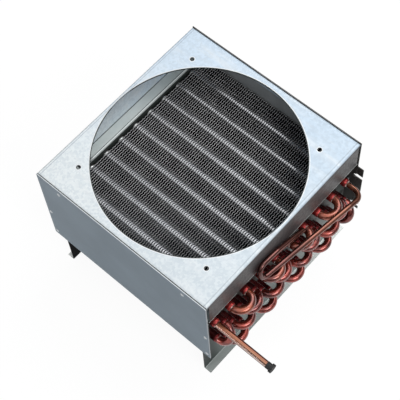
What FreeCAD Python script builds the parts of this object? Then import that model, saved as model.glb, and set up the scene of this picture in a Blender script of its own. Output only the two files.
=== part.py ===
# Refrigerator condenser: a square fan cowl, a front and a rear panel and two tube sheets
# that stand on feet hold a four-row fin-and-tube coil. Millimetres, +Z up, +X along the
# tubes towards the return bends. The origin is the centre of the fan opening on the
# cowl's outer face, so the whole part lies below it.
import FreeCAD, Part
import math
import os
import Sketcher

Vector = FreeCAD.Vector
Rotation = FreeCAD.Rotation
Placement = FreeCAD.Placement

SIZES = [
    ("cowl_width", 250.0, "cowl across the tubes' ends, along X"),
    ("front_margin", 11.25, "front panel's inner face to the first tubes of the long rows"),
    ("rear_margin", 22.25, "last tubes of the long rows to the rear panel's inner face"),
    ("cowl_thickness", 1.0, "cowl sheet"),
    ("cowl_bend_radius", 3.0, "outer radius of the cowl's folds"),
    ("side_lip_depth", 40.3, "cowl's lips over the tube sheets"),
    ("end_lip_depth", 20.0, "cowl's lips behind the two panels"),
    ("corner_relief", 0.6, "gap left beside a fold where two lips meet"),
    ("opening_margin", 4.5, "cowl's face left beside the fan opening at its narrowest"),
    ("bolt_inset", 30.75, "fan screws in from the cowl's side"),
    ("bolt_hole_radius", 2.35, "holes for the fan screws"),
    ("panel_thickness", 1.0, "front and rear panel sheet"),
    ("panel_top_depth", 0.9, "front panel's top edge below the cowl's face"),
    ("panel_bottom_depth", 143.0, "both panels' bottom edge below the cowl's face"),
    ("ear_reach", 8.2, "rear panel's ears past the cowl's side"),
    ("ear_top_depth", 50.0, "top edge of the ears"),
    ("slot_width", 7.0, "open-ended mounting slots in the ears"),
    ("slot_length", 12.5, "slot from the ear's edge to its round end"),
    ("upper_slot_drop", 19.5, "upper slot's centre line below the ear's top"),
    ("lower_slot_rise", 8.5, "lower slot's centre line above the panel's bottom edge"),
    ("plate_thickness", 1.2, "tube sheet's metal"),
    ("plate_bend_radius", 2.2, "outer radius of the tube sheets' folds"),
    ("flange_width", 15.4, "tube sheet's flanges, out from its inner face to the cowl's side"),
    ("foot_reach", 10.4, "tube sheet's foot, out from the inner face"),
    ("foot_depth", 208.5, "underside of the feet below the cowl's face"),
    ("tube_radius", 4.76, "coil tube, 9.52 across"),
    ("tube_pitch", 25.0, "tubes in one row"),
    ("row_pitch", 21.65, "between rows"),
    ("first_row_depth", 56.6, "top row below the cowl's face"),
    ("plate_hole_clearance", 0.1, "tube to its hole in a tube sheet"),
    ("fin_thickness", 0.2, "one fin"),
    ("fin_pitch", 3.0, "between fins"),
    ("fin_plate_gap", 4.5, "least gap from the outermost fins to the tube sheets"),
    ("fin_overhang", 10.8, "fin past the top and bottom rows' centres"),
    ("fin_end_gap", 0.4, "fin's end to a tube sheet's flange"),
    ("hairpin_stand_off", 3.0, "straight tube between the left sheet and the bend"),
    ("bell_start", 1.0, "right sheet to the flare of a tube's bell"),
    ("bell_flare", 1.5, "length of the flare"),
    ("bell_length", 11.7, "bell from the flare to its mouth"),
    ("bell_wall", 0.44, "bell's wall round the socket"),
    ("socket_depth", 10.0, "bell's socket"),
    ("socket_clearance", 0.1, "tube end to its socket's wall"),
    ("bend_stand_off", 3.4, "bell's mouth to the centre of a return bend"),
    ("swage_taper", 2.0, "from a swaged end in its bell down to the tube's own size"),
    ("inlet_radius", 3.97, "inlet stub, 7.94 across"),
    ("inlet_wall", 0.75, "wall of the stub"),
    ("inlet_reach", 72.5, "stub past its bell's mouth"),
    ("plug_grip_length", 10.0, "plug inside the stub"),
    ("plug_clearance", 0.05, "plug to the stub's bore"),
    ("plug_neck_radius", 4.1, "plug's neck past the stub's end"),
    ("plug_neck_length", 5.2, "length of the neck"),
    ("plug_disc_radius", 5.4, "disc on the plug's end"),
    ("plug_disc_length", 3.0, "thickness of the disc"),
    ("line_radius", 3.175, "liquid line, 6.35 across"),
    ("line_corner_radius", 13.0, "first bend of the liquid line"),
    ("line_turn_radius", 9.0, "its U-turn in front of the cowl"),
    ("line_sweep_radius", 32.0, "its gentle bends"),
    ("line_corner_reach", 25.5, "first corner past the bell's mouth"),
    ("line_lip_clearance", 0.3, "return run to the cowl's side lip"),
    ("line_coil_clearance", 1.4, "long run above the top row's bends"),
    ("line_climb", 29.0, "run that climbs from the first corner to the long run"),
    ("line_climb_lean", 0.9, "how far that run leans in"),
    ("line_turn_lean", 4.6, "end of the long run further out than the return run"),
    ("line_turn_rise", 21.8, "height of the U-turn"),
    ("line_back_fall", 5.5, "fall of the return run's first stretch"),
    ("line_end_rise", 6.7, "end of the return run above the top row"),
    ("rivet_radius", 1.2, "rivet's shank"),
    ("rivet_clearance", 0.05, "shank to its holes"),
    ("rivet_head_radius", 2.4, "rivet's domed head"),
    ("rivet_head_height", 0.9, "height of the dome"),
    ("rivet_tail", 1.5, "shank past the sheets"),
    ("cowl_rivet_x", 91.6, "rivets between a panel and the cowl's lip"),
    ("cowl_rivet_depth", 10.5, "those rivets below the cowl's face"),
    ("front_rivet_inset", 4.8, "front panel's side rivets in from the cowl's side"),
    ("rear_rivet_inset", 9.5, "rear panel's side rivets, further in to clear the slots"),
    ("middle_rivet_depth", 86.0, "upper side rivets below the cowl's face"),
    ("lower_rivet_rise", 8.0, "lower side rivets above the panels' bottom edge"),
]

# Where the liquid line turns and ends, counted in tubes along the top row.
LINE_TURN_PLACE = 3.7
LINE_BACK_PLACE = 4.92
LINE_END_PLACE = 6.78

LONG_ROW = 10
SHORT_ROW = 9

# Tubes are named (row, place), rows from the top, places from the front.
# The bends on the right and the hairpins on the left join all of them into one circuit.
RETURN_PAIRS = [((row, n), (row, n + 1)) for row in (1, 2, 3) for n in (2, 4, 6, 8)]
RETURN_PAIRS += [((4, n), (4, n + 1)) for n in (1, 3, 5, 7)]
RETURN_PAIRS += [((2, 1), (3, 1)), ((3, LONG_ROW), (4, SHORT_ROW))]

HAIRPIN_PAIRS = [((1, n), (1, n + 1)) for n in (1, 5, 7, 9)]
HAIRPIN_PAIRS += [((1, 3), (2, 3)), ((1, 4), (2, 4))]
HAIRPIN_PAIRS += [((2, n), (2, n + 1)) for n in (1, 5, 7)]
HAIRPIN_PAIRS += [((2, SHORT_ROW), (3, LONG_ROW))]
HAIRPIN_PAIRS += [((3, n), (4, n)) for n in range(1, SHORT_ROW + 1)]

INLET_TUBE = (1, 1)
OUTLET_TUBE = (1, LONG_ROW)

doc = FreeCAD.newDocument("Condenser")
sheet = doc.addObject("Spreadsheet::Sheet", "Sizes")
for line, (alias, value, meaning) in enumerate(SIZES, start=1):
    sheet.set(f"A{line}", meaning)
    sheet.set(f"B{line}", str(value))
    sheet.setAlias(f"B{line}", alias)
doc.recompute()

# Lengths that several pieces share, worked out from the sizes.
HALF_WIDTH = "Sizes.cowl_width / 2"
COWL_LENGTH = f"({LONG_ROW - 1} * Sizes.tube_pitch + Sizes.front_margin + Sizes.rear_margin)"
HALF_LENGTH = f"{COWL_LENGTH} / 2"
OPENING_RADIUS = f"min({HALF_WIDTH}; {HALF_LENGTH}) - Sizes.opening_margin"
BOLT_OFFSET = f"({HALF_WIDTH} - Sizes.bolt_inset)"
PLATE_INNER = f"({HALF_WIDTH} - Sizes.flange_width)"
PLATE_OUTER = f"({PLATE_INNER} + Sizes.plate_thickness)"
HAIRPIN_X = f"({PLATE_OUTER} + Sizes.hairpin_stand_off)"
FLARE_X = f"({PLATE_OUTER} + Sizes.bell_start)"
BELL_END_X = f"({FLARE_X} + Sizes.bell_flare + Sizes.bell_length)"
SOCKET_X = f"({BELL_END_X} - Sizes.socket_depth)"
SOCKET_RADIUS = "(Sizes.tube_radius + Sizes.socket_clearance)"
BELL_RADIUS = f"({SOCKET_RADIUS} + Sizes.bell_wall)"
DIAGONAL = "sqrt(Sizes.row_pitch^2 + (Sizes.tube_pitch / 2)^2)"
DIAGONAL_ANGLE = "atan(2 * Sizes.row_pitch / Sizes.tube_pitch)"

parts = []


def bind(item, **expressions):
    """Ties properties to expressions; two underscores stand for a dot."""
    for name, expression in expressions.items():
        item.setExpression(name.replace("__", "."), expression)


def keep(item, name):
    """Makes an object one of the condenser's pieces."""
    item.Label = name
    parts.append(item)
    return item


def origin_part(body, role):
    """A plane or an axis of the body's own origin."""
    return next(item for item in body.Origin.OriginFeatures if item.Role == role)


def value_of(expression):
    """The number that an expression of the sheet's sizes has now."""
    return float(sheet.evalExpression(expression.replace("Sizes.", "")))


def start_sketch(body, name, role, place):
    """A sketch whose own origin lies at place: two ways in its plane, then along the normal."""
    sketch = body.newObject("Sketcher::SketchObject", name)
    sketch.AttachmentSupport = [(origin_part(body, role), "")]
    sketch.MapMode = "FlatFace"
    across, up, out = place
    bind(sketch, AttachmentOffset__Base__x=across, AttachmentOffset__Base__y=up,
         AttachmentOffset__Base__z=out)
    return sketch


def rectangle(body, name, role, corner, width, height):
    """A rectangle from its lower left corner."""
    sketch = start_sketch(body, name, role, corner)
    right = value_of(width)
    top = value_of(height)
    corners = [Vector(0, 0, 0), Vector(right, 0, 0), Vector(right, top, 0), Vector(0, top, 0)]
    for index in range(4):
        sketch.addGeometry(Part.LineSegment(corners[index], corners[(index + 1) % 4]))
    for index in range(4):
        sketch.addConstraint(Sketcher.Constraint("Coincident", index, 2, (index + 1) % 4, 1))
    for index, direction in enumerate(("Horizontal", "Vertical", "Horizontal", "Vertical")):
        sketch.addConstraint(Sketcher.Constraint(direction, index))
    sketch.addConstraint(Sketcher.Constraint("Coincident", 0, 1, -1, 1))
    across = sketch.addConstraint(Sketcher.Constraint("DistanceX", 0, 1, 0, 2, right))
    upward = sketch.addConstraint(Sketcher.Constraint("DistanceY", 1, 1, 1, 2, top))
    sketch.setExpression(f"Constraints[{across}]", width)
    sketch.setExpression(f"Constraints[{upward}]", height)
    return sketch


def circle(body, name, role, centre, radius):
    sketch = start_sketch(body, name, role, centre)
    now = value_of(radius)
    sketch.addGeometry(Part.Circle(Vector(0, 0, 0), Vector(0, 0, 1), now))
    sketch.addConstraint(Sketcher.Constraint("Coincident", 0, 3, -1, 1))
    round_size = sketch.addConstraint(Sketcher.Constraint("Radius", 0, now))
    sketch.setExpression(f"Constraints[{round_size}]", radius)
    return sketch


def pad(body, sketch, length, against=False):
    """Adds metal along the sketch's normal, or against it."""
    feature = body.newObject("PartDesign::Pad", sketch.Name + "_pad")
    feature.Profile = sketch
    feature.Reversed = against
    feature.setExpression("Length", length)
    doc.recompute()
    return feature


def pocket(body, sketch, length, against=True):
    """Cuts metal away against the sketch's normal, or along it."""
    before = body.Shape.Volume
    feature = body.newObject("PartDesign::Pocket", sketch.Name + "_pocket")
    feature.Profile = sketch
    feature.Reversed = not against
    feature.setExpression("Length", length)
    doc.recompute()
    if not body.Shape.Volume < before:
        raise ValueError(sketch.Name + " cuts nothing")
    return feature


def round_edges(body, name, radius, chosen):
    """Rounds the edges of the body's last feature that chosen(middle, direction) picks."""
    base = body.Tip
    names = []
    for number, edge in enumerate(base.Shape.Edges, start=1):
        if edge.Curve.TypeId != "Part::GeomLine":
            continue
        middle = edge.valueAt((edge.FirstParameter + edge.LastParameter) / 2)
        if chosen(middle, edge.tangentAt(edge.FirstParameter)):
            names.append(f"Edge{number}")
    if not names:
        raise ValueError(name + " finds no edge")
    feature = body.newObject("PartDesign::Fillet", name)
    feature.Base = (base, names)
    feature.setExpression("Radius", radius)
    doc.recompute()
    return feature


def near(first, second):
    return abs(first - second) < 0.001


def cowl():
    """Folded from one galvanised sheet: the face with the fan opening and four lips."""
    body = doc.addObject("PartDesign::Body", "cowl")
    pad(body, rectangle(body, "cowl_blank", "XY_Plane", (f"-{HALF_WIDTH}", f"-{HALF_LENGTH}", "0"),
                        "Sizes.cowl_width", COWL_LENGTH),
        "Sizes.side_lip_depth", against=True)
    round_edges(body, "cowl_outer_folds", "Sizes.cowl_bend_radius",
                lambda middle, direction: near(middle.z, 0))
    inner_corner = (f"-{HALF_WIDTH} + Sizes.cowl_thickness", f"-{HALF_LENGTH} + Sizes.cowl_thickness",
                    "-Sizes.side_lip_depth")
    pocket(body, rectangle(body, "cowl_inside", "XY_Plane", inner_corner,
                           "Sizes.cowl_width - 2 * Sizes.cowl_thickness",
                           f"{COWL_LENGTH} - 2 * Sizes.cowl_thickness"),
           "Sizes.side_lip_depth - Sizes.cowl_thickness", against=False)
    sheet_z = -value_of("Sizes.cowl_thickness")
    round_edges(body, "cowl_inner_folds", "Sizes.cowl_bend_radius - Sizes.cowl_thickness",
                lambda middle, direction: near(middle.z, sheet_z))
    relief = "(Sizes.cowl_bend_radius + Sizes.corner_relief)"
    for side, x in (("left", f"-{HALF_WIDTH}"), ("right", f"{HALF_WIDTH} - {relief}")):
        for end, y in (("front", f"-{HALF_LENGTH}"), ("rear", f"{HALF_LENGTH} - {relief}")):
            pocket(body, rectangle(body, f"cowl_{side}_{end}_relief", "XY_Plane",
                                   (x, y, "-Sizes.cowl_bend_radius"), relief, relief),
                   "Sizes.side_lip_depth")
    for end, y in (("front", f"-{HALF_LENGTH}"), ("rear", f"{HALF_LENGTH} - Sizes.cowl_thickness")):
        pocket(body, rectangle(body, f"cowl_{end}_trim", "XY_Plane",
                               (f"-{HALF_WIDTH} + {relief}", y, "-Sizes.end_lip_depth"),
                               f"Sizes.cowl_width - 2 * {relief}", "Sizes.cowl_thickness"),
               "Sizes.side_lip_depth")
    pocket(body, circle(body, "cowl_opening", "XY_Plane", ("0", "0", "0"), OPENING_RADIUS),
           "2 * Sizes.cowl_thickness")
    for across in (-1, 1):
        for along in (-1, 1):
            place = (f"{across} * {BOLT_OFFSET}", f"{along} * {BOLT_OFFSET}", "0")
            pocket(body, circle(body, "cowl_bolt_hole", "XY_Plane", place, "Sizes.bolt_hole_radius"),
                   "2 * Sizes.cowl_thickness")
    for end, y in (("front", HALF_LENGTH), ("rear", f"-{HALF_LENGTH} + Sizes.cowl_thickness")):
        for across in (-1, 1):
            rivet_hole(body, f"cowl_{end}_rivet_hole", f"{across} * Sizes.cowl_rivet_x",
                       "Sizes.cowl_rivet_depth", y, "Sizes.cowl_thickness")
    keep(body, "cowl")


def rivet_hole(body, name, x, depth, out, thickness):
    """A hole through an upright sheet; out is its front face, counted towards -Y."""
    pocket(body, circle(body, name, "XZ_Plane", (x, f"-{depth}", out),
                        "Sizes.rivet_radius + Sizes.rivet_clearance"), thickness)


FRONT_RIVET_X = f"({HALF_WIDTH} - Sizes.front_rivet_inset)"
REAR_RIVET_X = f"({HALF_WIDTH} - Sizes.rear_rivet_inset)"
SIDE_RIVET_DEPTHS = ("Sizes.middle_rivet_depth",
                     "(Sizes.panel_bottom_depth - Sizes.lower_rivet_rise)")


def rivet_places(side_x):
    """One panel's rivets: x, depth and the thickness of the sheet behind the panel."""
    places = []
    for across in (-1, 1):
        places.append((f"{across} * Sizes.cowl_rivet_x", "Sizes.cowl_rivet_depth",
                       "Sizes.cowl_thickness"))
        for depth in SIDE_RIVET_DEPTHS:
            places.append((f"{across} * {side_x}", depth, "Sizes.plate_thickness"))
    return places


def front_panel():
    """A flat sheet riveted over the cowl's front lip and the tube sheets' flanges."""
    body = doc.addObject("PartDesign::Body", "front_panel")
    face = f"{HALF_LENGTH} + Sizes.panel_thickness"
    pad(body, rectangle(body, "front_blank", "XZ_Plane",
                        (f"-{HALF_WIDTH}", "-Sizes.panel_bottom_depth", HALF_LENGTH),
                        "Sizes.cowl_width", "Sizes.panel_bottom_depth - Sizes.panel_top_depth"),
        "Sizes.panel_thickness")
    for x, depth, _ in rivet_places(FRONT_RIVET_X):
        rivet_hole(body, "front_rivet_hole", x, depth, face, "Sizes.panel_thickness")
    keep(body, "front_panel")


EAR_EDGE = f"({HALF_WIDTH} + Sizes.ear_reach)"
SLOT_DEPTHS = ("(Sizes.ear_top_depth + Sizes.upper_slot_drop)",
               "(Sizes.panel_bottom_depth - Sizes.lower_slot_rise)")


def mounting_slots(body, name, side, face, thickness):
    """The slots of one ear: open at the ear's edge, round at their inner end."""
    straight = "(Sizes.slot_length - Sizes.slot_width / 2)"
    round_x = f"({EAR_EDGE} - {straight})"
    low = round_x if side > 0 else f"-{EAR_EDGE}"
    for depth in SLOT_DEPTHS:
        pocket(body, rectangle(body, f"{name}_slot", "XZ_Plane",
                               (low, f"-{depth} - Sizes.slot_width / 2", face),
                               straight, "Sizes.slot_width"), thickness)
        pocket(body, circle(body, f"{name}_slot_end", "XZ_Plane",
                            (f"{side} * {round_x}", f"-{depth}", face), "Sizes.slot_width / 2"),
               thickness)


def rear_panel():
    """A flat sheet like the front one, with an ear on each side for the mounting slots."""
    body = doc.addObject("PartDesign::Body", "rear_panel")
    face = f"-{HALF_LENGTH}"
    back = f"-{HALF_LENGTH} - Sizes.panel_thickness"
    pad(body, rectangle(body, "rear_blank", "XZ_Plane",
                        (f"-{HALF_WIDTH}", "-Sizes.panel_bottom_depth", back),
                        "Sizes.cowl_width", "Sizes.panel_bottom_depth"),
        "Sizes.panel_thickness")
    pad(body, rectangle(body, "rear_ears", "XZ_Plane",
                        (f"-{EAR_EDGE}", "-Sizes.panel_bottom_depth", back),
                        f"2 * {EAR_EDGE}", "Sizes.panel_bottom_depth - Sizes.ear_top_depth"),
        "Sizes.panel_thickness")
    for side in (-1, 1):
        mounting_slots(body, "rear", side, face, "Sizes.panel_thickness")
    for x, depth, _ in rivet_places(REAR_RIVET_X):
        rivet_hole(body, "rear_rivet_hole", x, depth, face, "Sizes.panel_thickness")
    keep(body, "rear_panel")


def side_span(side, near_x, far_x):
    """Lower x and width of a strip that runs from near_x out to far_x on one side."""
    low = near_x if side > 0 else f"-({far_x})"
    return low, f"({far_x}) - ({near_x})"


def tube_sheet(name, side):
    """Punched and folded plate: a web with the tubes' holes, flanges out and a foot."""
    body = doc.addObject("PartDesign::Body", name)
    web_half = f"({HALF_LENGTH} - Sizes.plate_bend_radius)"
    top = "-Sizes.side_lip_depth"
    flange_top = f"({top} - Sizes.plate_bend_radius - Sizes.corner_relief)"
    inner_x = f"{side} * {PLATE_INNER}"
    towards_left = side < 0
    pad(body, rectangle(body, f"{name}_web", "YZ_Plane", (f"-{web_half}", "-Sizes.foot_depth", inner_x),
                        f"2 * {web_half}", "Sizes.foot_depth - Sizes.side_lip_depth"),
        "Sizes.plate_thickness", against=towards_left)
    low, width = side_span(side, PLATE_INNER, HALF_WIDTH)
    pad(body, rectangle(body, f"{name}_top", "XY_Plane", (low, f"-{web_half}", top),
                        width, f"2 * {web_half}"),
        "Sizes.plate_thickness", against=True)
    foot_low, foot_width = side_span(side, PLATE_INNER, f"{PLATE_INNER} + Sizes.foot_reach")
    pad(body, rectangle(body, f"{name}_foot", "XY_Plane",
                        (foot_low, f"-{web_half}", "-Sizes.foot_depth"),
                        foot_width, f"2 * {web_half}"),
        "Sizes.plate_thickness")
    flange_height = f"{flange_top} + Sizes.panel_bottom_depth"
    for end, y, out in (("front", f"-{HALF_LENGTH}", HALF_LENGTH),
                        ("rear", web_half, f"-{HALF_LENGTH} + Sizes.plate_thickness")):
        pad(body, rectangle(body, f"{name}_{end}_corner", "YZ_Plane",
                            (y, "-Sizes.panel_bottom_depth", inner_x),
                            "Sizes.plate_bend_radius", flange_height),
            "Sizes.plate_thickness", against=towards_left)
        pad(body, rectangle(body, f"{name}_{end}_flange", "XZ_Plane",
                            (low, "-Sizes.panel_bottom_depth", out), width, flange_height),
            "Sizes.plate_thickness", against=True)
    fold_sheet(body, name, side)
    for row, places in ((1, LONG_ROW), (2, SHORT_ROW), (3, LONG_ROW), (4, SHORT_ROW)):
        tube_holes(body, f"{name}_row{row}", row, places, inner_x, towards_left)
    for x, out in ((FRONT_RIVET_X, HALF_LENGTH),
                   (REAR_RIVET_X, f"-{HALF_LENGTH} + Sizes.plate_thickness")):
        for depth in SIDE_RIVET_DEPTHS:
            rivet_hole(body, f"{name}_rivet_hole", f"{side} * {x}", depth, out,
                       "Sizes.plate_thickness")
    mounting_slots(body, name, side, f"-{HALF_LENGTH} + Sizes.plate_thickness",
                   "Sizes.plate_thickness")
    keep(body, name)


def fold_sheet(body, name, side):
    """Rounds the outside and the inside of a tube sheet's four folds."""
    thickness = value_of("Sizes.plate_thickness")
    inner_radius = "Sizes.plate_bend_radius - Sizes.plate_thickness"
    for skin, inset, radius in (("outer", 0.0, "Sizes.plate_bend_radius"),
                                ("inner", thickness, inner_radius)):
        x = side * (value_of(PLATE_INNER) + inset)
        levels = (-value_of("Sizes.side_lip_depth") - inset, -value_of("Sizes.foot_depth") + inset)
        ends = value_of(HALF_LENGTH) - inset

        def on_a_fold(middle, direction):
            if not near(middle.x, x):
                return False
            along = abs(direction.y) > 0.9 and any(near(middle.z, level) for level in levels)
            upright = abs(direction.z) > 0.9 and near(abs(middle.y), ends)
            return along or upright

        round_edges(body, f"{name}_{skin}_folds", radius, on_a_fold)


def pitches_back(tube):
    """A tube's distance behind the first one, in pitches; the even rows lie half a pitch back."""
    row, place = tube
    return place - 1 + 0.5 * (row % 2 == 0)


def tube_y(tube):
    return f"(-{HALF_LENGTH} + Sizes.front_margin + {pitches_back(tube)} * Sizes.tube_pitch)"


def tube_z(tube):
    return f"(-Sizes.first_row_depth - {tube[0] - 1} * Sizes.row_pitch)"


def tube_holes(body, name, row, places, inner_x, towards_left):
    """One row of holes in a tube sheet's web."""
    first = (row, 1)
    hole = pocket(body, circle(body, name, "YZ_Plane", (tube_y(first), tube_z(first), inner_x),
                               "Sizes.tube_radius + Sizes.plate_hole_clearance"),
                  "Sizes.plate_thickness", against=towards_left)
    pattern = body.newObject("PartDesign::LinearPattern", name + "_holes")
    pattern.Originals = [hole]
    pattern.Direction = (origin_part(body, "Y_Axis"), [""])
    pattern.Occurrences = places
    pattern.setExpression("Length", f"{places - 1} * Sizes.tube_pitch")
    body.Tip = pattern
    doc.recompute()


def rod(name, x, y, length, radius):
    """A round bar along X from (x, y)."""
    bar = doc.addObject("Part::Cylinder", name)
    bar.Placement = Placement(Vector(), Rotation(Vector(0, 1, 0), 90))
    bind(bar, Placement__Base__x=x, Placement__Base__y=y, Height=length, Radius=radius)
    return bar


def taper(name, x, y, length, start_radius, end_radius):
    """A round bar along X that changes from one radius to another."""
    cone = doc.addObject("Part::Cone", name)
    cone.Placement = Placement(Vector(), Rotation(Vector(0, 1, 0), 90))
    bind(cone, Placement__Base__x=x, Placement__Base__y=y, Height=length,
         Radius1=start_radius, Radius2=end_radius)
    return cone


def half_ring(name, x, span, turn):
    """The half circle that joins two tubes, span apart; turn sets which way it bulges."""
    ring = doc.addObject("Part::Torus", name)
    ring.Placement = Placement(Vector(), Rotation(Vector(0, 0, 1), turn))
    ring.Angle3 = 180
    bind(ring, Placement__Base__x=x, Radius1=f"{span} / 2", Radius2="Sizes.tube_radius")
    return ring


def joined(name, pieces):
    fused = doc.addObject("Part::MultiFuse", name)
    fused.Shapes = pieces
    return fused


def grouped(name, pieces):
    group = doc.addObject("Part::Compound", name)
    group.Links = pieces
    return group


def cut(name, base, tool):
    difference = doc.addObject("Part::Cut", name)
    difference.Base = base
    difference.Tool = tool
    return difference


def pair_span(first, second):
    return "Sizes.tube_pitch" if first[0] == second[0] else DIAGONAL


def place_on_pair(item, first, second):
    """Moves a piece made along the X axis to the middle of two neighbouring tubes."""
    if first[0] != second[0]:
        lean = 1 if pitches_back(second) < pitches_back(first) else -1
        item.Placement = Placement(Vector(), Rotation(Vector(1, 0, 0), lean))
        bind(item, Placement__Rotation__Angle=f"{lean} * {DIAGONAL_ANGLE}")
    bind(item, Placement__Base__y=f"({tube_y(first)} + {tube_y(second)}) / 2",
         Placement__Base__z=f"({tube_z(first)} + {tube_z(second)}) / 2")


def hairpin(name, first, second):
    """One copper tube bent back on itself; both ends are flared to bells past the right sheet."""
    span = pair_span(first, second)
    solids = [half_ring(f"{name}_bend", f"-{HAIRPIN_X}", span, 90)]
    sockets = []
    for side in (-1, 1):
        y = f"{side} * {span} / 2"
        solids.append(rod(f"{name}_leg", f"-{HAIRPIN_X}", y, f"{HAIRPIN_X} + {SOCKET_X}",
                          "Sizes.tube_radius"))
        solids.append(taper(f"{name}_flare", FLARE_X, y, "Sizes.bell_flare",
                            "Sizes.tube_radius", BELL_RADIUS))
        solids.append(rod(f"{name}_bell", f"{FLARE_X} + Sizes.bell_flare", y,
                          "Sizes.bell_length", BELL_RADIUS))
        sockets.append(rod(f"{name}_socket", SOCKET_X, y, "2 * Sizes.socket_depth", SOCKET_RADIUS))
    piece = cut(name, joined(f"{name}_solid", solids), grouped(f"{name}_sockets", sockets))
    place_on_pair(piece, first, second)
    keep(piece, name)


def return_bend(name, first, second):
    """A copper U-bend whose two arms are brazed into the bells of neighbouring tubes."""
    span = pair_span(first, second)
    centre_x = f"({BELL_END_X} + Sizes.bend_stand_off)"
    solids = [half_ring(f"{name}_bend", centre_x, span, -90)]
    for side in (-1, 1):
        solids.append(rod(f"{name}_arm", SOCKET_X, f"{side} * {span} / 2",
                          f"{centre_x} - {SOCKET_X}", "Sizes.tube_radius"))
    piece = joined(name, solids)
    place_on_pair(piece, first, second)
    keep(piece, name)


def fin_pack():
    """Aluminium fins, each pressed on all the tubes; they end short of the tube sheets' flanges."""
    fins = []
    half_fin = f"({HALF_LENGTH} - Sizes.plate_thickness - Sizes.fin_end_gap)"
    top = "(-Sizes.first_row_depth + Sizes.fin_overhang)"
    height = "(3 * Sizes.row_pitch + 2 * Sizes.fin_overhang)"
    span = value_of(f"2 * ({PLATE_INNER} - Sizes.fin_plate_gap)")
    count = int(span / value_of("Sizes.fin_pitch")) + 1
    for index in range(count):
        fin = doc.addObject("Part::Box", "fin")
        offset = index - (count - 1) / 2
        bind(fin, Length="Sizes.fin_thickness", Width=f"2 * {half_fin}", Height=height,
             Placement__Base__x=f"{offset} * Sizes.fin_pitch - Sizes.fin_thickness / 2",
             Placement__Base__y=f"-{half_fin}", Placement__Base__z=f"{top} - {height}")
        fins.append(fin)
    keep(grouped("fin_pack", fins), "fin_pack")


def inlet():
    """Copper stub, swaged up to the first tube's bell and closed for storage by a plastic plug."""
    bore = "(Sizes.inlet_radius - Sizes.inlet_wall)"
    end_x = f"({BELL_END_X} + Sizes.inlet_reach)"
    neck_x = f"({BELL_END_X} - Sizes.swage_taper)"
    tube = joined("inlet_tube", [
        rod("inlet_swage", SOCKET_X, "0", f"{neck_x} - {SOCKET_X}", "Sizes.tube_radius"),
        taper("inlet_neck", neck_x, "0", "Sizes.swage_taper", "Sizes.tube_radius",
              "Sizes.inlet_radius"),
        rod("inlet_run", BELL_END_X, "0", "Sizes.inlet_reach", "Sizes.inlet_radius"),
    ])
    hollow = rod("inlet_bore", SOCKET_X, "0", f"{end_x} - {SOCKET_X}", bore)
    stub = keep(cut("inlet_stub", tube, hollow), "inlet_stub")
    plug = keep(joined("inlet_plug", [
        rod("plug_grip", f"{end_x} - Sizes.plug_grip_length", "0", "Sizes.plug_grip_length",
            f"{bore} - Sizes.plug_clearance"),
        rod("plug_neck", end_x, "0", "Sizes.plug_neck_length", "Sizes.plug_neck_radius"),
        rod("plug_disc", f"{end_x} + Sizes.plug_neck_length", "0", "Sizes.plug_disc_length",
            "Sizes.plug_disc_radius"),
    ]), "inlet_plug")
    for piece in (stub, plug):
        bind(piece, Placement__Base__y=tube_y(INLET_TUBE), Placement__Base__z=tube_z(INLET_TUBE))


def bent_wire(points, radii):
    """Straight runs between the points, joined at each inner point by a tangent arc."""
    edges = []
    start = points[0]
    for index, radius in enumerate(radii, start=1):
        corner = points[index]
        back = (points[index - 1] - corner).normalize()
        ahead = (points[index + 1] - corner).normalize()
        half = back.getAngle(ahead) / 2
        reach = radius / math.tan(half)
        middle_way = (back + ahead).normalize()
        centre = corner + middle_way * (radius / math.sin(half))
        into = corner + back * reach
        out = corner + ahead * reach
        edges.append(Part.LineSegment(start, into).toShape())
        edges.append(Part.Arc(into, centre - middle_way * radius, out).toShape())
        start = out
    edges.append(Part.LineSegment(start, points[-1]).toShape())
    return Part.Wire(edges)


def liquid_line():
    """Thinner outlet line: out of the last tube's bell, forward over the top bends, back under."""
    size = {alias: sheet.get(alias) for alias, _, _ in SIZES}
    outlet_y = value_of(tube_y(OUTLET_TUBE))
    outlet_z = value_of(tube_z(OUTLET_TUBE))
    turn_y, back_y, end_y = (value_of(tube_y((1, place)))
                             for place in (LINE_TURN_PLACE, LINE_BACK_PLACE, LINE_END_PLACE))
    mouth_x = value_of(BELL_END_X)
    corner_x = mouth_x + size["line_corner_reach"]
    lip_x = size["cowl_width"] / 2 + size["line_radius"] + size["line_lip_clearance"]
    over_z = outlet_z + size["tube_radius"] + size["line_radius"] + size["line_coil_clearance"]
    turn_z = over_z + size["line_turn_rise"]
    points = [
        Vector(mouth_x, outlet_y, outlet_z),
        Vector(corner_x, outlet_y, outlet_z),
        Vector(corner_x - size["line_climb_lean"], outlet_y - size["line_climb"], over_z),
        Vector(lip_x + size["line_turn_lean"], turn_y, over_z),
        Vector(lip_x, turn_y, turn_z),
        Vector(lip_x, back_y, turn_z - size["line_back_fall"]),
        Vector(lip_x, end_y, outlet_z + size["line_end_rise"]),
    ]
    radii = [size["line_corner_radius"], size["line_sweep_radius"], size["line_turn_radius"],
             size["line_turn_radius"], size["line_sweep_radius"]]
    route = bent_wire(points, radii)
    ring = Part.Wire(Part.Circle(points[0], Vector(1, 0, 0), size["line_radius"]).toShape())
    tube = route.makePipeShell([ring], True, True)
    socket_x = value_of(SOCKET_X)
    neck_x = mouth_x - size["swage_taper"]
    swage = Part.makeCylinder(size["tube_radius"], neck_x - socket_x,
                              Vector(socket_x, outlet_y, outlet_z), Vector(1, 0, 0))
    neck = Part.makeCone(size["tube_radius"], size["line_radius"], size["swage_taper"],
                         Vector(neck_x, outlet_y, outlet_z), Vector(1, 0, 0))
    line = doc.addObject("Part::Feature", "liquid_line")
    line.Shape = swage.fuse([neck, tube]).removeSplitter()
    line.Placement = Placement()
    keep(line, "liquid_line")


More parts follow.
